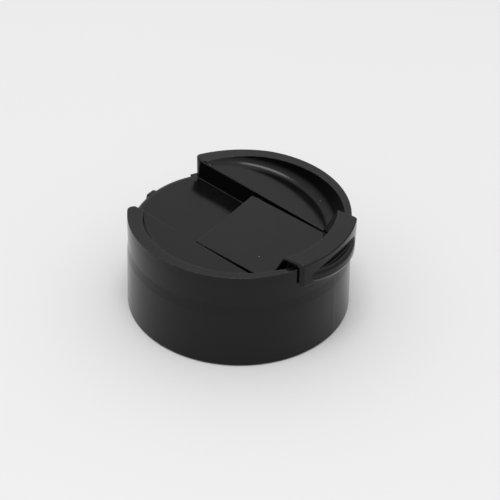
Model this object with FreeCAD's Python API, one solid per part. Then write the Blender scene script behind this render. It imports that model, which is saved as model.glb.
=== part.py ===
import FreeCAD, Part
import math
import os

# Flip top cap for a wide-mouth insulated bottle. Millimetres, +Z up.
# The origin is the centre of the cap's open mouth, on the plane that the skirt stands on.
# +X runs from the gap in the rim towards the lid's clip, and the cap is alike on both sides of Y = 0.

# Skirt, neck thread and the stack above the bottle's lip
CAP_R = 32.85           # outer radius of the band round the rim
NECK_WALL = 3.25        # from the neck thread out to that radius
SKIRT_H = 18.0          # skirt up to the soft step below the band
SKIRT_STEP = 0.3        # skirt wider than the band at that step
SKIRT_DRAFT = 1.45      # spread of the skirt towards the mouth, degrees
STEP_H = 3.4            # height that the step takes
NECK_DEPTH = 9.6        # from the mouth up to the gasket's lower face
FOOT_CHAMFER = 0.4      # broken edge at the mouth, outside
GASKET_T = 1.6
GASKET_BAND = 4.5       # width of the gasket ring
GASKET_FIT = 0.3        # slack round the soft ring
SEAT_STEP = 0.4         # ledge between thread wall and gasket pocket
LINER_T = 1.8
LINER_FIT = 0.05        # weld gap round the liner
LINER_LEDGE = 0.8       # ledge that the liner is welded to
FLOOR_WALL = 1.6        # channel floor at its low end
SHELL_WALL = 2.2        # deck, channel walls and hinge end of the floor

# Sloping deck, the channel along its middle and the rim round it
DECK_TILT = 9.54        # fall of the deck towards the clip, degrees
CHANNEL_DEPTH = 6.54    # below the deck and square to it
CHANNEL_HALF = 15.4     # half the channel's width
CHANNEL_FLARE = 0.3     # rounded edge between deck and channel
GAP_FLARE = 2.2         # lean of the rim's cut ends, degrees
RIM_WIDTH = 3.55        # rim at the level of the deck
RIM_RISE = 5.05         # rim's top above the middle of the deck
RIM_DRAFT = 3.0         # lean of the rim's inner wall, degrees
RIM_LEAN = 0.1          # how far the band draws in below the rim's top
RIM_LEAN_H = 3.0
RIM_FALL = 2.2          # fall of the rim's top towards the gap, degrees
RIM_FALL_X = -10.0      # where that fall begins
TIP_R = 2.0             # rounding of the rim's cut ends, outside
COVE_R = 3.0            # rounding between deck and rim
LIP_R = 2.2             # rounding where the channel floor runs out at the gap

# Nubs on the outer wall: one holds the lid open, one stays under the closed clip
NUB_R = 1.2
NUB_LENGTH = 4.8
NUB_TIP_R = 0.5
NUB_PROUD = 0.6
NUB_DROP = 1.8          # below the channel floor's outer edge
CATCH_PROUD = 0.3

# Lid: panel, hinge barrel, riser, clip and thumb tab
LID_GAP = 0.95          # slit each side of the panel
PANEL_DROP = 0.85       # panel below the deck at the hinge end
PANEL_TILT = 6.9        # fall of the panel towards the clip, degrees
PANEL_T = 2.2
PANEL_END = -5.2        # the panel's hinge end
PANEL_EDGE_R = 0.3
BARREL_R = 2.2
RISER_GAP = 0.8         # from the riser to the rim's inner wall
RISER_LEAN = 22.0       # lean of the riser's inner face, degrees
CLIP_GAP = 0.5          # from the clip's wall to the band
CLIP_LIFT = 0.8         # from the plate to the rim's top
CLIP_LEAD = 0.35        # lead-in inside the foot of the clip
CLIP_LEAD_H = 2.2       # height of that lead-in
CLIP_T = 1.2            # plate over the rim
CLIP_WALL = 1.1         # wall outside the rim
CLIP_REACH = 5.5        # how far the outer wall comes down below the rim's top
CLIP_CORNER_R = 1.1     # rounding of the clip's corners in plan
CLIP_EDGE = 0.4         # broken edge round the plate's top
CLIP_INNER = 4.2        # inner edge of the plate inside the band's radius
TAB_R = 18.6            # outline of the thumb tab
TAB_OUT = 2.0           # tab beyond the clip's wall in the middle
TAB_H = 4.0
TAB_ROUND = 1.2

# Hinge stubs
PIN_R = 1.0
PIN_CLEAR = 0.05        # running clearance in the lid
PIN_BITE = 5.0          # length in the lid

# Drinking hole, vent and the seal under the lid
SPOUT_INSET = 11.5      # middle of the hole from the end of the channel
SPOUT_HALF_X = 5.0
SPOUT_HALF_Y = 8.5
VENT_R = 1.1
VENT_X = 3.2
VENT_BOSS = 1.6
SEAL_FIT = 0.35         # slack round the soft seal, and under it
SEAL_MARGIN = 1.8       # pad beyond the drinking hole all round
SEAL_PLUG = 1.5         # length of the plug in the hole
SEAL_TAPER = 0.8        # how much the plug draws in towards its tip
STRAP_HALF = 1.6        # half the width of the strap between the pads
STRAP_T = 1.2
FRAME_WALL = 1.0        # rib moulded on the panel round the seal
FRAME_H = 1.1

# Heights and places that follow
TILT = math.radians(DECK_TILT)
DRAFT = math.radians(RIM_DRAFT)
NECK_R = CAP_R - NECK_WALL
SEAT_R = NECK_R - SEAT_STEP
LINER_R = SEAT_R - LINER_FIT
HOLLOW_R = SEAT_R - LINER_LEDGE
RECESS_R = CAP_R - RIM_WIDTH
LINER_BASE = NECK_DEPTH + GASKET_T
LINER_TOP = LINER_BASE + LINER_T
FLOOR_Z = LINER_TOP + FLOOR_WALL + RECESS_R * math.tan(TILT)
DECK_Z = FLOOR_Z + CHANNEL_DEPTH / math.cos(TILT)
RIM_TOP = DECK_Z + RIM_RISE
PANEL_HALF = CHANNEL_HALF - LID_GAP
CLIP_FOOT = RIM_TOP - CLIP_REACH
BEYOND = 2 * CAP_R      # reaches past everything
BEND_STEPS = 7          # straight steps in a turned rounding, which keep its facets few
CHANNEL_END = RECESS_R - CHANNEL_DEPTH * math.tan(DRAFT)


def point(x, z):
    return FreeCAD.Vector(x, 0, z)


def outline(start, *steps):
    """Closed face in the XZ plane. A step is a point, or an arc: (point on the way, end)."""
    edges = []
    here = point(*start)
    for step in steps + (start,):
        if isinstance(step[0], tuple):
            end = point(*step[1])
            edges.append(Part.Arc(here, point(*step[0]), end).toShape())
        else:
            end = point(*step)
            edges.append(Part.LineSegment(here, end).toShape())
        here = end
    return Part.Face(Part.Wire(edges))


def bend(x, z, radius, start, end):
    """Points round a centre, from one angle to another: a rounding drawn as short straight steps."""
    angles = [start + (end - start) * step / BEND_STEPS for step in range(BEND_STEPS + 1)]
    return [(x + radius * math.cos(angle), z + radius * math.sin(angle)) for angle in angles]


def turned(face):
    return face.revolve(FreeCAD.Vector(), FreeCAD.Vector(0, 0, 1), 360)


def block(low, high):
    size = [b - a for a, b in zip(low, high)]
    return Part.makeBox(*size, FreeCAD.Vector(*low))


def disc(radius, low, high, x=0.0):
    return Part.makeCylinder(radius, high - low, FreeCAD.Vector(x, 0, low))


def bar(radius, half, x, z):
    """A round bar along Y, centred on Y = 0."""
    return Part.makeCylinder(radius, 2 * half, FreeCAD.Vector(x, -half, z), FreeCAD.Vector(0, 1, 0))


def sloped(shape, angle, x, z):
    """Tip a shape made about the origin towards +X by an angle, then set it at (x, z)."""
    tipped = shape.copy()
    tipped.rotate(FreeCAD.Vector(), FreeCAD.Vector(0, 1, 0), angle)
    return tipped.translated(FreeCAD.Vector(x, 0, z))


def obround_wire(half_x, half_y, z, x):
    """Outline with round ends, long in Y."""
    straight = half_y - half_x
    edges = []
    for side in (1, -1):
        start = FreeCAD.Vector(x + side * half_x, side * straight, z)
        way = FreeCAD.Vector(x, side * half_y, z)
        end = FreeCAD.Vector(x - side * half_x, side * straight, z)
        edges.append(Part.Arc(start, way, end).toShape())
        edges.append(Part.LineSegment(end, end - FreeCAD.Vector(0, side * 2 * straight, 0)).toShape())
    return Part.Wire(edges)


def obround(half_x, half_y, low, high, x):
    wire = obround_wire(half_x, half_y, low, x)
    return Part.Face(wire).extrude(FreeCAD.Vector(0, 0, high - low))


def deck_height(x):
    return DECK_Z - x * math.tan(TILT)


def floor_height(x):
    return FLOOR_Z - x * math.tan(TILT)


def panel_origin():
    """Top corner of the panel's hinge end."""
    return PANEL_END, deck_height(PANEL_END) - PANEL_DROP


def on_panel(along, up):
    """A place given along the panel from its hinge end and square to its top."""
    x, z = panel_origin()
    tilt = math.radians(PANEL_TILT)
    return x + along * math.cos(tilt) + up * math.sin(tilt), z - along * math.sin(tilt) + up * math.cos(tilt)


def hinge_axis():
    return on_panel(BARREL_R, -BARREL_R)


def nub(x, z, proud):
    """A short bar with tapered ends, standing proud of the outer wall at X = x."""
    centre_x = math.copysign(abs(x) + proud - NUB_R, x)
    half = NUB_LENGTH / 2 - NUB_R
    form = bar(NUB_R, half, centre_x, z)
    for side in (-1, 1):
        root = FreeCAD.Vector(centre_x, side * half, z)
        form = form.fuse(Part.makeCone(NUB_R, NUB_TIP_R, NUB_R, root, FreeCAD.Vector(0, side, 0)))
    return form.removeSplitter()


# --- cap body -------------------------------------------------------------

def outer_form():
    """Skirt, soft step and the band round the rim, still solid."""
    skirt_r = CAP_R + SKIRT_STEP
    foot_r = skirt_r + (SKIRT_H - FOOT_CHAMFER) * math.tan(math.radians(SKIRT_DRAFT))
    form = turned(outline(
        (0, 0),
        (foot_r - FOOT_CHAMFER, 0),
        (foot_r, FOOT_CHAMFER),
        (skirt_r, SKIRT_H),
        (CAP_R, SKIRT_H + STEP_H),
        (CAP_R, RIM_TOP - RIM_LEAN_H),
        (CAP_R - RIM_LEAN, RIM_TOP),
        (0, RIM_TOP)))
    above = block((-BEYOND, -BEYOND, 0), (0, BEYOND, BEYOND))
    return form.cut(sloped(above, -RIM_FALL, RIM_FALL_X, RIM_TOP))


def recess(cove):
    """The dished hollow inside the rim, square to the sloping deck, with a cove of this radius."""
    height = CAP_R
    top_r = RECESS_R + height * math.tan(DRAFT)
    if cove == 0:
        deep = -CHANNEL_DEPTH
        low_r = RECESS_R + deep * math.tan(DRAFT)
        face = outline((0, deep), (low_r, deep), (top_r, height), (0, height))
    else:
        centre_r = RECESS_R - cove * (1 - math.sin(DRAFT)) / math.cos(DRAFT)
        corner = bend(centre_r, cove, cove, -math.pi / 2, -DRAFT)
        face = outline((0, 0), *corner, (top_r, height), (0, height))
    return sloped(turned(face), DECK_TILT, 0, DECK_Z)


def channel():
    """Straight channel under the lid: open through the rim at the gap, closed by the rim at the clip."""
    rise = CAP_R
    lean = rise * math.tan(math.radians(GAP_FLARE))
    wide = CHANNEL_HALF + CHANNEL_FLARE
    corner = CHANNEL_FLARE * (1 - math.sqrt(0.5))
    face = outline(
        (-CHANNEL_HALF, -CHANNEL_DEPTH),
        (CHANNEL_HALF, -CHANNEL_DEPTH),
        (CHANNEL_HALF, -CHANNEL_FLARE),
        ((CHANNEL_HALF + corner, -corner), (wide, 0)),
        (wide + lean, rise),
        (-wide - lean, rise),
        (-wide, 0),
        ((-CHANNEL_HALF - corner, -corner), (-CHANNEL_HALF, -CHANNEL_FLARE)))
    face.rotate(FreeCAD.Vector(), FreeCAD.Vector(0, 0, 1), 90)
    run = face.translated(FreeCAD.Vector(-BEYOND, 0, 0)).extrude(FreeCAD.Vector(2 * BEYOND, 0, 0))
    run = sloped(run, DECK_TILT, 0, DECK_Z)
    open_end = run.common(block((-BEYOND, -BEYOND, 0), (0, BEYOND, BEYOND)))
    return open_end.fuse(run.common(recess(0))).removeSplitter()


def lip_rounding():
    """Cutter that rounds the channel floor's outer edge at the gap."""
    edge_r = CAP_R / math.cos(TILT)
    centre_r = edge_r - LIP_R * (1 + math.sin(TILT)) * math.tan(TILT) - LIP_R * math.cos(TILT)
    curve = bend(centre_r, -LIP_R, LIP_R, math.pi / 2, -TILT)
    beyond = edge_r + LIP_R
    face = outline(*curve, (beyond, curve[-1][1]), (beyond, LIP_R), (centre_r, LIP_R))
    run = block((-BEYOND, -CHANNEL_HALF, 0), (0, CHANNEL_HALF, BEYOND))
    return sloped(turned(face), DECK_TILT, 0, FLOOR_Z).common(run)


def tip_rounding(side):
    """Cutter that rounds the outer corner of one of the rim's cut ends, down to the channel floor."""
    wall = side * CHANNEL_HALF
    centre_y = side * (CHANNEL_HALF + TIP_R)
    centre_x = -math.sqrt((CAP_R - TIP_R) ** 2 - centre_y ** 2)
    centre = FreeCAD.Vector(centre_x, centre_y, 0)
    on_wall = FreeCAD.Vector(centre_x, wall, 0)
    on_skirt = centre * (CAP_R / (CAP_R - TIP_R))
    between = (on_wall - centre) + (on_skirt - centre)
    between.normalize()
    arc = Part.Arc(on_skirt, centre + between * TIP_R, on_wall).toShape()
    inside = FreeCAD.Vector(centre_x, wall - side * TIP_R, 0)
    outside = FreeCAD.Vector(-CAP_R - TIP_R, wall - side * TIP_R, 0)
    beyond = on_skirt * ((CAP_R + 2 * TIP_R) / CAP_R)
    corners = Part.makePolygon([on_wall, inside, outside, beyond, on_skirt])
    prism = Part.Face(Part.Wire([arc] + corners.Edges)).extrude(FreeCAD.Vector(0, 0, CAP_R))
    return prism.translated(FreeCAD.Vector(0, 0, floor_height(centre_x)))


def under_slope(top, low_x, high_x, low_y, high_y):
    """A hollow above the liner, inside the shell and under a face that slopes as the deck does."""
    room = block((low_x, low_y, LINER_TOP), (high_x, high_y, BEYOND))
    roof = block((-BEYOND, -BEYOND, -BEYOND), (BEYOND, BEYOND, 0))
    room = room.common(sloped(roof, DECK_TILT, 0, top))
    return room.common(disc(HOLLOW_R, LINER_TOP, BEYOND))


def hollows():
    """The shell's three hollows: one under each side of the deck, one under the channel floor."""
    wall = SHELL_WALL / math.cos(TILT)
    side = CHANNEL_HALF + SHELL_WALL
    middle = CHANNEL_HALF - SHELL_WALL
    rooms = [under_slope(DECK_Z - wall, -CAP_R, CAP_R, side, CAP_R)]
    rooms.append(under_slope(DECK_Z - wall, -CAP_R, CAP_R, -CAP_R, -side))
    rooms.append(under_slope(FLOOR_Z - wall, -CAP_R, VENT_X + VENT_BOSS + SHELL_WALL, -middle, middle))
    rooms[2] = rooms[2].cut(disc(VENT_R + VENT_BOSS, 0, BEYOND, VENT_X))
    return rooms


def spout_x():
    return CHANNEL_END - SPOUT_INSET


def passages(low, high):
    """The drinking hole and the vent, between two heights."""
    return [obround(SPOUT_HALF_X, SPOUT_HALF_Y, low, high, spout_x()), disc(VENT_R, low, high, VENT_X)]


def cap_body():
    """Moulded shell: skirt, rim, sloping deck, channel and its nubs."""
    shell = outer_form().cut(recess(COVE_R)).cut(channel()).cut(lip_rounding())
    for side in (-1, 1):
        shell = shell.cut(tip_rounding(side))
    for room in hollows():
        shell = shell.cut(room)
    thread_wall = outline(
        (0, 0), (NECK_R, 0), (NECK_R, NECK_DEPTH), (SEAT_R, NECK_DEPTH), (SEAT_R, LINER_TOP), (0, LINER_TOP))
    shell = shell.cut(turned(thread_wall))
    for hole in passages(0, BEYOND / 2):
        shell = shell.cut(hole)
    shell = shell.fuse(nub(-CAP_R, floor_height(-CAP_R) - NUB_DROP, NUB_PROUD))
    shell = shell.fuse(nub(CAP_R, CLIP_FOOT + NUB_R, CATCH_PROUD))
    x, z = hinge_axis()
    return shell.cut(bar(PIN_R, CHANNEL_HALF + SHELL_WALL, x, z)).removeSplitter()


# --- liner and gasket -----------------------------------------------------

def inner_liner():
    """Plate welded in under the shell, with the boss that the gasket is stretched round."""
    boss_r = SEAT_R - GASKET_FIT - GASKET_BAND - GASKET_FIT
    plate = disc(LINER_R, LINER_BASE, LINER_TOP).fuse(disc(boss_r, NECK_DEPTH, LINER_BASE))
    for hole in passages(0, BEYOND):
        plate = plate.cut(hole)
    return plate.removeSplitter()


def neck_gasket():
    outer = SEAT_R - GASKET_FIT
    return disc(outer, NECK_DEPTH, LINER_BASE).cut(disc(outer - GASKET_BAND, NECK_DEPTH, LINER_BASE))


# --- hinge ----------------------------------------------------------------

def hinge_pins():
    """Two short steel stubs, pressed into the channel walls from the hollows."""
    x, z = hinge_axis()
    inner = PANEL_HALF - PIN_BITE
    outer = CHANNEL_HALF + SHELL_WALL
    stub = bar(PIN_R, outer, x, z)
    return stub.cut(bar(2 * PIN_R, inner, x, z))


# --- lid ------------------------------------------------------------------

def riser_wall(gap):
    """Form inside the rim's inner wall, held off it by a gap."""
    low = -CHANNEL_DEPTH
    high = CAP_R
    base = RECESS_R - gap
    face = outline(
        (0, low), (base + low * math.tan(DRAFT), low), (base + high * math.tan(DRAFT), high), (0, high))
    return sloped(turned(face), DECK_TILT, 0, DECK_Z)


def below_panel():
    """Everything under the panel's lower face."""
    space = block((-BEYOND, -BEYOND, -BEYOND), (BEYOND, BEYOND, -PANEL_T))
    return sloped(space, PANEL_TILT, *panel_origin())


def lid_panel():
    """Flat panel with the hinge barrel along its end."""
    slab = block((0, -PANEL_HALF, -PANEL_T), (BEYOND, PANEL_HALF, 0))
    top = [edge for edge in slab.Edges if edge.BoundBox.ZMin > -PANEL_T / 2 and edge.BoundBox.XMin < BEYOND / 2]
    slab = slab.makeFillet(PANEL_EDGE_R, top)
    x, z = panel_origin()
    slab = sloped(slab, PANEL_TILT, x, z).common(riser_wall(RISER_GAP))
    return slab.fuse(bar(BARREL_R, PANEL_HALF, *hinge_axis()))


def far_edges(form):
    """The edges that reach out towards the clip, and not those on the form's flat back at X = 0."""
    return [edge for edge in form.Edges if edge.BoundBox.XMax > PANEL_HALF]


def clip_blank():
    """Riser, plate and outer wall of the clip as one solid form, with rounded outer corners."""
    wall_out = CAP_R + CLIP_GAP + CLIP_WALL
    top = RIM_TOP + CLIP_LIFT + CLIP_T
    foot_z = on_panel(CAP_R, -PANEL_T)[1]
    inner_top = CAP_R - CLIP_INNER
    inner_foot = inner_top - (top - foot_z) * math.tan(math.radians(RISER_LEAN))
    form = disc(wall_out, foot_z, top).common(block((0, -PANEL_HALF, 0), (BEYOND, PANEL_HALF, BEYOND)))
    corners = [edge for edge in far_edges(form) if edge.BoundBox.ZLength > CLIP_REACH]
    form = form.makeFillet(CLIP_CORNER_R, corners)
    top_edges = [edge for edge in far_edges(form) if edge.BoundBox.ZMin > top - CLIP_EDGE]
    form = form.makeChamfer(CLIP_EDGE, top_edges)
    return form.cut(turned(outline((0, foot_z), (inner_foot, foot_z), (inner_top, top), (0, top))))


def rim_room():
    """Room for the rim inside the clip, with a lead-in at the foot of the outer wall."""
    wall_in = CAP_R + CLIP_GAP
    under = RIM_TOP + CLIP_LIFT
    mouth = wall_in + CLIP_LEAD
    return turned(outline(
        (0, CLIP_FOOT), (mouth, CLIP_FOOT), (wall_in, CLIP_FOOT + CLIP_LEAD_H), (wall_in, under), (0, under)))


def thumb_tab():
    """Rounded lip below the clip, to lift it by."""
    high = CLIP_FOOT + TAB_H
    centre_x = CAP_R + CLIP_GAP + CLIP_WALL + TAB_OUT - TAB_R
    face = outline(
        (0, CLIP_FOOT),
        (TAB_R - TAB_ROUND / 2, CLIP_FOOT),
        (TAB_R, CLIP_FOOT + TAB_ROUND),
        *bend(TAB_R - TAB_ROUND, high - TAB_ROUND, TAB_ROUND, 0, math.pi / 2),
        (0, high))
    tab = turned(face).translated(FreeCAD.Vector(centre_x, 0, 0))
    return tab.common(block((0, -PANEL_HALF, 0), (BEYOND, PANEL_HALF, BEYOND)))


def lid_clip():
    """Riser, hook over the rim and thumb tab."""
    blank = clip_blank()
    riser = blank.common(riser_wall(RISER_GAP)).cut(below_panel())
    hook = blank.common(block((0, -BEYOND, CLIP_FOOT), (BEYOND, BEYOND, BEYOND))).cut(rim_room())
    return riser.fuse(hook).fuse(thumb_tab().cut(rim_room()))


def catch_pocket():
    """Hollow in the clip's wall that clears the nub under it."""
    form = nub(CAP_R, CLIP_FOOT + NUB_R, CATCH_PROUD + CLIP_GAP)
    return form.fuse(form.translated(FreeCAD.Vector(0, 0, -NUB_R)))


def seal_outline(spread, low, high):
    """Form of the seal seen from below: a pad round the drinking hole, a strap and a pad over the vent."""
    margin = SEAL_MARGIN + spread
    form = obround(SPOUT_HALF_X + margin, SPOUT_HALF_Y + margin, low, high, spout_x())
    half = STRAP_HALF + spread
    form = form.fuse(block((VENT_X, -half, low), (spout_x(), half, high)))
    return form.fuse(disc(VENT_R + margin, low, high, VENT_X))


def seal_frame():
    """Rib round the seal, moulded on the panel's lower face."""
    ring = seal_outline(SEAL_FIT + FRAME_WALL, 0, RIM_TOP).cut(seal_outline(SEAL_FIT, 0, RIM_TOP))
    x, z = panel_origin()
    layer = block((0, -PANEL_HALF, -PANEL_T - FRAME_H), (BEYOND, PANEL_HALF, -PANEL_T))
    return ring.common(sloped(layer, PANEL_TILT, x, z)).common(riser_wall(RISER_GAP))


def flip_lid():
    """Panel, hinge barrel, riser, clip and thumb tab, moulded in one piece."""
    lid = lid_panel().fuse(seal_frame()).fuse(lid_clip()).cut(catch_pocket())
    x, z = hinge_axis()
    bore = bar(PIN_R + PIN_CLEAR, PANEL_HALF, x, z)
    lid = lid.cut(bore.cut(bar(2 * PIN_R, PANEL_HALF - PIN_BITE - PIN_CLEAR, x, z)))
    return lid.removeSplitter()


def spout_seal():
    """Soft seal under the panel: two pads that close on the channel floor, and a tapered plug."""
    form = seal_outline(0, 0, RIM_TOP).common(below_panel())
    above_floor = block((-BEYOND, -BEYOND, SEAL_FIT), (BEYOND, BEYOND, BEYOND))
    form = form.common(sloped(above_floor, DECK_TILT, 0, FLOOR_Z))
    strap = block((VENT_X, -PANEL_HALF, -BEYOND), (spout_x() - SPOUT_HALF_X - SEAL_MARGIN, PANEL_HALF, BEYOND))
    strap = strap.cut(disc(VENT_R + SEAL_MARGIN, -BEYOND, BEYOND, VENT_X))
    under_strap = block((-BEYOND, -BEYOND, -BEYOND), (BEYOND, BEYOND, -PANEL_T - STRAP_T))
    form = form.cut(strap.common(sloped(under_strap, PANEL_TILT, *panel_origin())))
    root = floor_height(spout_x() - SPOUT_HALF_X)
    wide = obround_wire(SPOUT_HALF_X - SEAL_FIT, SPOUT_HALF_Y - SEAL_FIT, root + SEAL_FIT, spout_x())
    narrow_by = SEAL_FIT + SEAL_TAPER
    tip = floor_height(spout_x()) - SEAL_PLUG
    narrow = obround_wire(SPOUT_HALF_X - narrow_by, SPOUT_HALF_Y - narrow_by, tip, spout_x())
    return form.fuse(Part.makeLoft([narrow, wide], True)).removeSplitter()


def save(node, shape):
    assert shape.isValid() and shape.Volume > 0, node
    shape.exportStep("parts/" + node + ".step")
    print(node, len(shape.Solids), "solids", round(shape.Volume, 1), "mm3", len(shape.Faces), "faces")


os.makedirs("parts", exist_ok=True)
save("cap_body", cap_body())
save("inner_liner", inner_liner())
save("neck_gasket", neck_gasket())
save("hinge_pins", hinge_pins())
save("flip_lid", flip_lid())
save("spout_seal", spout_seal())
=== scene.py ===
# %% [markdown]
# # A flip top cap, dressed in Blender
# The object is the screw-on cap of a wide-mouth drinking bottle: a black body with a raised rim, and a
# black lid that lies in a sloping channel across the top and swings up on a pin. Its solids come ready
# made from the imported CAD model, in metres, and stay as they are. This file gives them their plastics,
# rubber and steel, adds the parts that are too fine for the solids, and lights the whole.

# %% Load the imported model
import bpy
import math
from mathutils import Matrix, Vector


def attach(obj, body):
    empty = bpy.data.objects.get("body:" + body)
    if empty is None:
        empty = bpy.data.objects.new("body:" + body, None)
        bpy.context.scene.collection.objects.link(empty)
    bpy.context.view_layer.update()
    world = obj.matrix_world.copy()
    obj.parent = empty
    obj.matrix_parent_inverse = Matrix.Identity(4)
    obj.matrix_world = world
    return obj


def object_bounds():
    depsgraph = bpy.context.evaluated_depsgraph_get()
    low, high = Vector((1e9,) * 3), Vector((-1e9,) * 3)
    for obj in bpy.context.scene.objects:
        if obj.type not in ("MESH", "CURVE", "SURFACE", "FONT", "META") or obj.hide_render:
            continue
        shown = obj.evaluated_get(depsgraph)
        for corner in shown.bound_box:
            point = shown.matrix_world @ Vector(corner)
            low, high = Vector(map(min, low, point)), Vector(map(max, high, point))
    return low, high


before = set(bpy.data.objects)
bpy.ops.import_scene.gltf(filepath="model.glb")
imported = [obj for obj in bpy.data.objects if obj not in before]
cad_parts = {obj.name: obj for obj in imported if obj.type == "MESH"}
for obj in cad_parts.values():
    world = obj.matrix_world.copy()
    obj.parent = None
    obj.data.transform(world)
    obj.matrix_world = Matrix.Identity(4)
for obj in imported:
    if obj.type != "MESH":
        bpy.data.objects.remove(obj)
cad_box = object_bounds()
MM = 0.001
print("size in mm:", [round((high - low) / MM, 1) for low, high in zip(*cad_box)])

# %% [markdown]
# ## The camera
# The cap is looked down on from its clip side, from about half a metre away with a long lens, so that
# its circles look like nearly true ellipses. A camera can be placed by typing numbers for its rotation,
# but it is easier to think of a point to aim at, an angle round the object and one above the floor. The
# camera's own turn about its line of sight is added last: the horizon here leans by one degree.

# %% Place the camera
AIM = Vector((2.31, 2.45, 16.0)) * MM
AZIMUTH, ELEVATION, LEAN = math.radians(33.59), math.radians(36.765), math.radians(1.14)
DISTANCE = 447.6 * MM

camera = bpy.data.objects.new("camera", bpy.data.cameras.new("camera"))
bpy.context.scene.collection.objects.link(camera)
towards_camera = Vector((math.sin(AZIMUTH) * math.cos(ELEVATION),
                         -math.cos(AZIMUTH) * math.cos(ELEVATION), math.sin(ELEVATION)))
facing = towards_camera.to_track_quat("Z", "Y").to_matrix() @ Matrix.Rotation(LEAN, 3, "Z")
camera.matrix_world = Matrix.Translation(AIM + DISTANCE * towards_camera) @ facing.to_4x4()
camera.data.sensor_width = 36.0
camera.data.lens = 108.0
camera.data.clip_start = 0.01
bpy.context.scene.camera = camera
print("camera at", [round(v, 4) for v in camera.location], "lens", camera.data.lens, "mm")

# %% [markdown]
# ## Small helpers for node trees
# Every finish below is a tree of shader nodes. A few helpers keep those trees short: the first
# adds a node and fills its inputs, where a socket given as a value is linked and a number is typed in; the
# next three do sums, move ranges and mix colours; the last two open a node group with named sockets and
# place it in a material.

# %% Helpers that build node trees
def add(tree, kind, values=None, **settings):
    """A new node with its settings, its inputs filled by name or number: a socket is linked, a value set."""
    node = tree.nodes.new("ShaderNode" + kind)
    for name, value in settings.items():
        setattr(node, name, value)
    for name, value in (values or {}).items():
        if isinstance(value, bpy.types.NodeSocket):
            tree.links.new(value, node.inputs[name])
        else:
            node.inputs[name].default_value = value
    return node


def maths(tree, operation, *values):
    """The result of one Math node."""
    return add(tree, "Math", dict(enumerate(values)), operation=operation).outputs[0]


def stretch(tree, value, low, high, to_low=0.0, to_high=1.0, smooth=True):
    """value, moved from the range low to high into another range, and kept inside it."""
    kind = "SMOOTHSTEP" if smooth else "LINEAR"
    node = add(tree, "MapRange", {"Value": value, "From Min": low, "From Max": high,
                                  "To Min": to_low, "To Max": to_high}, interpolation_type=kind)
    return node.outputs["Result"]


def colour(tree, share, first, second):
    """A mix of two colours, each a socket or four numbers. The Mix node keeps a set of sockets for each
    kind of data and the sets share their names, so the ones for colours are reached by position."""
    return add(tree, "Mix", {0: share, 6: first, 7: second}, data_type="RGBA").outputs[2]


def open_group(name, inputs, outputs):
    """A shader node group with number inputs and outputs, and its two end nodes."""
    group = bpy.data.node_groups.new(name, "ShaderNodeTree")
    for label, value in inputs.items():
        group.interface.new_socket(label, in_out="INPUT", socket_type="NodeSocketFloat").default_value = value
    for label in outputs:
        group.interface.new_socket(label, in_out="OUTPUT", socket_type="NodeSocketFloat")
    return group, group.nodes.new("NodeGroupInput"), group.nodes.new("NodeGroupOutput")


def place_group(tree, group, **values):
    """The group as a node in a material, its inputs set by name with _ for a space."""
    node = tree.nodes.new("ShaderNodeGroup")
    node.node_tree = group
    for label, value in values.items():
        node.inputs[label.replace("_", " ")].default_value = value
    return node


print("helpers ready")

# %% [markdown]
# ## Grain: what the mould leaves on the plastic
# The steel mould of such a cap is spark-eroded, so the plastic comes out with a skin of fine, even,
# rounded bumps a tenth of a millimetre or two across. It could be sculpted, but only a shader is fine
# enough. Two noises of different size are added: the fine one makes the skin matt, the coarse one makes
# its reflections slightly uneven. Both read the object's own coordinates, in metres, so the grain has
# its real size and moves with the part.

# %% Node group: moulded grain
def build_grain():
    group, start, end = open_group("moulded_grain", {"Grain per metre": 5200.0, "Waves per metre": 420.0},
                                   ["Height", "Waves"])
    place = add(group, "TexCoord").outputs["Object"]
    fine = add(group, "TexNoise", {"Vector": place, "Scale": start.outputs["Grain per metre"],
                                   "Detail": 2.0, "Roughness": 0.55})
    broad = add(group, "TexNoise", {"Vector": place, "Scale": start.outputs["Waves per metre"],
                                    "Detail": 2.0, "Roughness": 0.45})
    group.links.new(fine.outputs["Fac"], end.inputs["Height"])
    group.links.new(broad.outputs["Fac"], end.inputs["Waves"])
    return group


grain = build_grain()
print("group", grain.name, "puts out", [item.name for item in grain.interface.items_tree if item.in_out == "OUTPUT"])

# %% [markdown]
# ## Wear and a painted edge highlight: what hands leave on the edges, and light along them
# Corners that are touched and scraped turn smoother and a little paler than the faces between them. The
# paleness here is made stronger than that, so it is partly wear and partly a painted highlight standing in
# for the thin bright lines that light draws along rounded edges. A mask for that could be painted by
# hand. Here it comes from a Bevel node: it gives the direction that the surface would have if its corners
# were rounded, and where that differs from the true direction, there is a corner. A noise breaks the mask
# up, because wear is never even.

# %% Node group: worn edges and painted edge highlight
def build_wear_and_highlight():
    group, start, end = open_group("worn_and_highlit_edges", {"Width": 0.0005, "Patches per metre": 900.0}, ["Mask"])
    rounded = add(group, "Bevel", {"Radius": start.outputs["Width"]}, samples=6).outputs["Normal"]
    true_way = add(group, "NewGeometry").outputs["Normal"]
    likeness = add(group, "VectorMath", {0: rounded, 1: true_way}, operation="DOT_PRODUCT").outputs["Value"]
    corner = stretch(group, likeness, 0.995, 0.86)
    place = add(group, "TexCoord").outputs["Object"]
    patches = add(group, "TexNoise", {"Vector": place, "Scale": start.outputs["Patches per metre"],
                                      "Detail": 3.0, "Roughness": 0.6}).outputs["Fac"]
    broken = stretch(group, patches, 0.38, 0.66, 0.25, 1.0)
    group.links.new(maths(group, "MULTIPLY", corner, broken), end.inputs["Mask"])
    return group


wear_and_highlight = build_wear_and_highlight()
print("group", wear_and_highlight.name, "ready")

# %% [markdown]
# ## Dust: what the air leaves on top
# Black plastic shows every speck. Dust settles on what faces up and hardly at all on the walls, so the
# mask starts from the upward part of the surface's direction. Single specks come from a Voronoi texture:
# few of its cells are chosen, and each of those gets one dot of a tenth of a millimetre or two. A soft
# noise adds a barely visible film between them.

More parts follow.
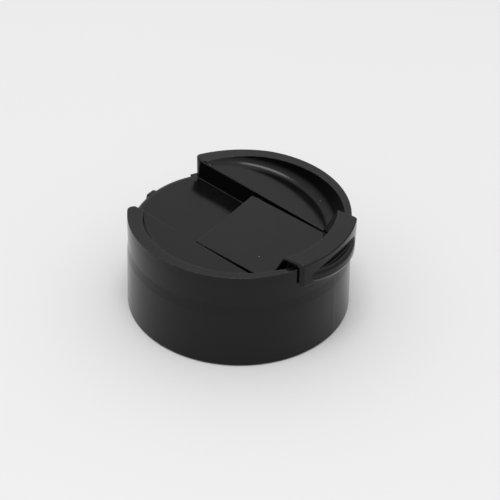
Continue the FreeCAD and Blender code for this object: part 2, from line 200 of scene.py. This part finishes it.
# %% Node group: settled dust
def build_dust():
    group, start, end = open_group("settled_dust", {"Cells per metre": 330.0, "Share of cells": 0.07,
                                                    "Speck size": 0.045, "Film": 0.012}, ["Specks", "Film"])
    coordinates = add(group, "TexCoord")
    upward = stretch(group, add(group, "SeparateXYZ", {0: coordinates.outputs["Normal"]}).outputs["Z"], 0.35, 0.9)
    cells = add(group, "TexVoronoi", {"Vector": coordinates.outputs["Object"],
                                      "Scale": start.outputs["Cells per metre"], "Randomness": 1.0})
    chance = add(group, "SeparateColor", {0: cells.outputs["Color"]}).outputs
    chosen = maths(group, "LESS_THAN", chance["Red"], start.outputs["Share of cells"])
    spread = stretch(group, chance["Green"], 0.0, 1.0, 0.4, 1.3)
    size = maths(group, "MULTIPLY", start.outputs["Speck size"], spread)
    dot = maths(group, "LESS_THAN", cells.outputs["Distance"], size)
    specks = maths(group, "MULTIPLY", maths(group, "MULTIPLY", chosen, dot), upward)
    drift = add(group, "TexNoise", {"Vector": coordinates.outputs["Object"], "Scale": 130.0, "Detail": 4.0,
                                    "Roughness": 0.6}).outputs["Fac"]
    film = maths(group, "MULTIPLY", maths(group, "MULTIPLY", drift, upward), start.outputs["Film"])
    group.links.new(specks, end.inputs["Specks"])
    group.links.new(film, end.inputs["Film"])
    return group


dust = build_dust()
print("group", dust.name, "has its inputs and outputs:", [item.name for item in dust.interface.items_tree])

# %% [markdown]
# ## The black plastic
# Body and lid are moulded in the same black polypropylene. It is nearly as black as plastic gets, so
# almost all that is seen is reflection: the flat tops look dark grey because they mirror the bright room
# at a shallow angle, and the channel's far wall looks black because it mirrors only more black plastic.
# So the colour hardly matters, and the roughness decides the look. The edges are rounded by a Bevel node
# of a fifth of a millimetre or so, which catches light along every rim as the real radii do; a pale grey
# painted along the edges, partly wear and partly a painted highlight, makes those lines brighter.

# %% Material: black moulded plastic
# The third colour is the pale grey mixed into the edges: partly wear, partly a painted highlight for the light that
# rounded edges catch.
DUST_FILM, DUST_SPECK, RUBBED_AND_HIGHLIT = (0.32, 0.31, 0.30, 1.0), (0.42, 0.41, 0.39, 1.0), (0.075, 0.075, 0.078, 1.0)


def new_material(name):
    material = bpy.data.materials.new(name)
    material.use_nodes = True
    return material, material.node_tree, material.node_tree.nodes["Principled BSDF"]


def moulded(name, dark, light, roughness, edge_radius, grain_depth, mirror=0.30):
    """A dark moulded material: grain, waves, worn edges with a painted edge highlight, and dust over a tint between
    dark and light.
    """
    material, tree, shader = new_material(name)
    shader.inputs["IOR"].default_value = 1.45
    shader.inputs["Specular IOR Level"].default_value = mirror
    skin = place_group(tree, grain)
    worn_and_highlit = place_group(tree, wear_and_highlight, Width=2.0 * edge_radius)
    dusty = place_group(tree, dust)

    tone = colour(tree, skin.outputs["Waves"], dark, light)
    # Painted highlight: edges are mixed towards a pale grey, partly wear, partly standing in for light caught along
    # the rounded edges.
    rubbed_and_highlit = colour(tree, maths(tree, "MULTIPLY", worn_and_highlit.outputs["Mask"], 0.35), tone, RUBBED_AND_HIGHLIT)
    filmed = colour(tree, dusty.outputs["Film"], rubbed_and_highlit, DUST_FILM)
    specked = colour(tree, dusty.outputs["Specks"], filmed, DUST_SPECK)
    tree.links.new(specked, shader.inputs["Base Color"])

    uneven = stretch(tree, skin.outputs["Waves"], 0.3, 0.7, roughness - 0.02, roughness + 0.02)
    polished = maths(tree, "SUBTRACT", uneven, maths(tree, "MULTIPLY", worn_and_highlit.outputs["Mask"], 0.05))
    matted = maths(tree, "ADD", polished, maths(tree, "MULTIPLY", dusty.outputs["Specks"], 0.4))
    tree.links.new(matted, shader.inputs["Roughness"])

    rounded = add(tree, "Bevel", {"Radius": edge_radius}, samples=8).outputs["Normal"]
    bumps = add(tree, "Bump", {"Strength": 1.0, "Distance": grain_depth, "Height": skin.outputs["Height"],
                               "Normal": rounded})
    tree.links.new(bumps.outputs["Normal"], shader.inputs["Normal"])
    return material


BLACK = (0.0010, 0.0010, 0.0011, 1.0), (0.0018, 0.0018, 0.0019, 1.0)
body_black = moulded("body_black", *BLACK, roughness=0.17, edge_radius=0.00036, grain_depth=0.0000014)
lid_black = moulded("lid_black", *BLACK, roughness=0.17, edge_radius=0.00032, grain_depth=0.0000014)
print("plastics:", body_black.name, lid_black.name)

# %% [markdown]
# ## The inner parts: liner, silicone and steel
# The liner that is welded in under the shell is a plainer, more satin moulding, a shade lighter, because
# nobody sees it on the shelf. The gasket and the lid's seal are soft silicone: charcoal, matt, with a
# faint bloom, and with dust that clings to them. The hinge stubs are ground steel rod, whose fine
# scratches run round them; a noise that is stretched along the rod's length would look drawn instead, so
# the noise is squeezed along Y and left long across it.

# %% Materials: liner, silicone, steel
LINER = (0.012, 0.012, 0.0125, 1.0), (0.016, 0.016, 0.0165, 1.0)
SILICONE = (0.030, 0.030, 0.032, 1.0), (0.040, 0.040, 0.042, 1.0)
liner_satin = moulded("liner_satin", *LINER, roughness=0.42, edge_radius=0.0002, grain_depth=0.000004)
silicone = moulded("silicone", *SILICONE, roughness=0.62, edge_radius=0.0003, grain_depth=0.000007)
silicone.node_tree.nodes["Principled BSDF"].inputs["Sheen Weight"].default_value = 0.12


def ground_steel():
    material, tree, shader = new_material("ground_steel")
    place = add(tree, "TexCoord").outputs["Object"]
    squeezed = add(tree, "Mapping", {"Vector": place, "Scale": (400.0, 22000.0, 400.0)}).outputs["Vector"]
    scratches = add(tree, "TexNoise", {"Vector": squeezed, "Scale": 1.0, "Detail": 3.0}).outputs["Fac"]
    tint = colour(tree, scratches, (0.50, 0.50, 0.51, 1.0), (0.66, 0.66, 0.67, 1.0))
    tree.links.new(tint, shader.inputs["Base Color"])
    tree.links.new(stretch(tree, scratches, 0.3, 0.7, 0.24, 0.42), shader.inputs["Roughness"])
    bumps = add(tree, "Bump", {"Strength": 0.6, "Distance": 0.000004, "Height": scratches}).outputs["Normal"]
    tree.links.new(bumps, shader.inputs["Normal"])
    shader.inputs["Metallic"].default_value = 1.0
    return material


steel = ground_steel()
print("inner materials:", liner_satin.name, silicone.name, steel.name)

# %% Give the solids their finish
FINISHES = {"cap_body": body_black, "flip_lid": lid_black, "inner_liner": liner_satin,
            "neck_gasket": silicone, "spout_seal": silicone, "hinge_pins": steel}


def finish(node, material):
    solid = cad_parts[node]
    if not solid.material_slots:
        solid.data.materials.append(None)
    for entry in solid.material_slots:
        entry.link = "OBJECT"
        entry.material = material


for node, material in FINISHES.items():
    finish(node, material)
print("slots:", {node: len(solid.material_slots) for node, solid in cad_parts.items()})

# %% [markdown]
# ## The neck thread
# Inside the skirt one ridge winds up the bore, right-handed, for a turn and a half: it is what screws the
# cap on to the bottle. The solids leave it out, because a helix is heavy to model and no check needs it.
# Here its section, a low hill with a rounded crest, is carried round the bore step by step while it
# climbs. Its height grows out of the wall at the start and sinks back into it at the end, as a moulded
# thread's does, so that it starts to bite gently. A screw modifier would also wind a section up, but it
# couldn't make the ends fade.

# %% Build the thread
BORE_R, PITCH, TURNS, THREAD_START = 29.6, 4.0, 1.5, 1.9
RIDGE_DEPTH, RIDGE_HALF, CREST_HALF, FADE = 1.2, 1.15, 0.35, math.radians(28.0)
INTO_WALL = 0.12
STEPS_A_TURN = 160


def ridge_section():
    """The ridge's outline as pairs of how far it stands in from the wall, 0 to 1, and height from its middle."""
    slope = [(0.0, -RIDGE_HALF), (0.55, -0.62), (0.86, -0.45), (1.0, -CREST_HALF * 0.6)]
    return slope + [(depth, -height) for depth, height in reversed(slope)]


def build_thread():
    section = ridge_section()
    steps = round(STEPS_A_TURN * TURNS)
    vertices, faces = [], []
    for step in range(steps + 1):
        angle = 2 * math.pi * TURNS * step / steps
        left = 2 * math.pi * TURNS - angle
        fade = min(1.0, angle / FADE, left / FADE)
        fade = fade * fade * (3 - 2 * fade)
        middle = THREAD_START + PITCH * angle / (2 * math.pi)
        for depth, height in section:
            radius = BORE_R + INTO_WALL - depth * fade * (RIDGE_DEPTH + INTO_WALL)
            spot = Vector((radius * math.cos(angle), radius * math.sin(angle), middle + height * (0.4 + 0.6 * fade)))
            vertices.append(spot * MM)
    count = len(section)
    for step in range(steps):
        for side in range(count):
            here, there = step * count + side, step * count + (side + 1) % count
            faces.append((here, there, there + count, here + count))
    faces += [tuple(range(count)), tuple(reversed(range(steps * count, (steps + 1) * count)))]
    mesh = bpy.data.meshes.new("neck_thread")
    mesh.from_pydata(vertices, [], faces)
    mesh.polygons.foreach_set("use_smooth", [True] * len(mesh.polygons))
    mesh.materials.append(body_black)
    thread = bpy.data.objects.new("neck_thread", mesh)
    bpy.context.scene.collection.objects.link(thread)
    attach(thread, "cap")
    return thread


thread = build_thread()
heights = [vertex.co.z / MM for vertex in thread.data.vertices]
print("thread from", round(min(heights), 2), "to", round(max(heights), 2), "mm,", len(thread.data.polygons), "faces")

# %% [markdown]
# ## The floor and the light
# The cap stands on a plain white sweep in a light tent. The tent's cloth is bright overhead, where the
# lamps are, and falls off towards the floor; on black plastic that fall is the whole picture, because
# the flat tops mirror the cloth half way up and the walls mirror the floor. So the world's brightness
# follows the height of the direction, in two straight stretches, and one lamp overhead draws the bright
# line along the cove and, with the painted highlight on the edges, the thin lines along the edges.

# %% Floor
FLOOR_HALF = 2.0


def build_floor():
    corners = [(-1, -1), (1, -1), (1, 1), (-1, 1)]
    mesh = bpy.data.meshes.new("floor")
    mesh.from_pydata([(FLOOR_HALF * x, FLOOR_HALF * y, 0.0) for x, y in corners], [], [(0, 1, 2, 3)])
    floor = bpy.data.objects.new("floor", mesh)
    floor.location.z = cad_box[0][2]
    bpy.context.scene.collection.objects.link(floor)
    material, tree, shader = new_material("white_paper")
    place = add(tree, "TexCoord").outputs["Object"]
    cloudy = add(tree, "TexNoise", {"Vector": place, "Scale": 5.0, "Detail": 2.0}).outputs["Fac"]
    paper = colour(tree, cloudy, (0.655, 0.655, 0.655, 1.0), (0.675, 0.675, 0.675, 1.0))
    tree.links.new(paper, shader.inputs["Base Color"])
    shader.inputs["Roughness"].default_value = 0.8
    shader.inputs["Specular IOR Level"].default_value = 0.2
    mesh.materials.append(material)
    return floor


floor = build_floor()
print("floor at height", floor.location.z)

# %% World and lamp
LOW, MIDDLE, HIGH = 0.34, 1.02, 1.1      # brightness at the floor, half way up and overhead
HALF_WAY = math.sin(math.radians(42.0))

scene = bpy.context.scene
scene.view_settings.view_transform = "Standard"
world = bpy.data.worlds.new("tent")
world.use_nodes = True
tree = world.node_tree
direction = add(tree, "TexCoord").outputs["Generated"]
height = add(tree, "SeparateXYZ", {0: direction}).outputs["Z"]
lower = stretch(tree, height, 0.0, HALF_WAY, LOW, MIDDLE, smooth=False)
upper = stretch(tree, height, HALF_WAY, 1.0, 0.0, HIGH - MIDDLE, smooth=False)
tree.links.new(maths(tree, "ADD", lower, upper), tree.nodes["Background"].inputs["Strength"])
tree.nodes["Background"].inputs["Color"].default_value = (1.0, 1.0, 1.0, 1.0)
scene.world = world


def softbox(name, position, target, size, power):
    lamp = bpy.data.lights.new(name, "AREA")
    lamp.shape = "RECTANGLE"
    lamp.size, lamp.size_y = size
    lamp.energy = power
    holder = bpy.data.objects.new(name, lamp)
    place, aim = Vector(position), Vector(target)
    holder.matrix_world = Matrix.Translation(place) @ (place - aim).to_track_quat("Z", "Y").to_matrix().to_4x4()
    scene.collection.objects.link(holder)
    return holder


overhead = softbox("overhead", (0.08, -0.14, 0.95), (0.0, 0.0, 0.0), (0.42, 0.42), 3.6)
print("lamp:", overhead.name, overhead.data.energy, "W")
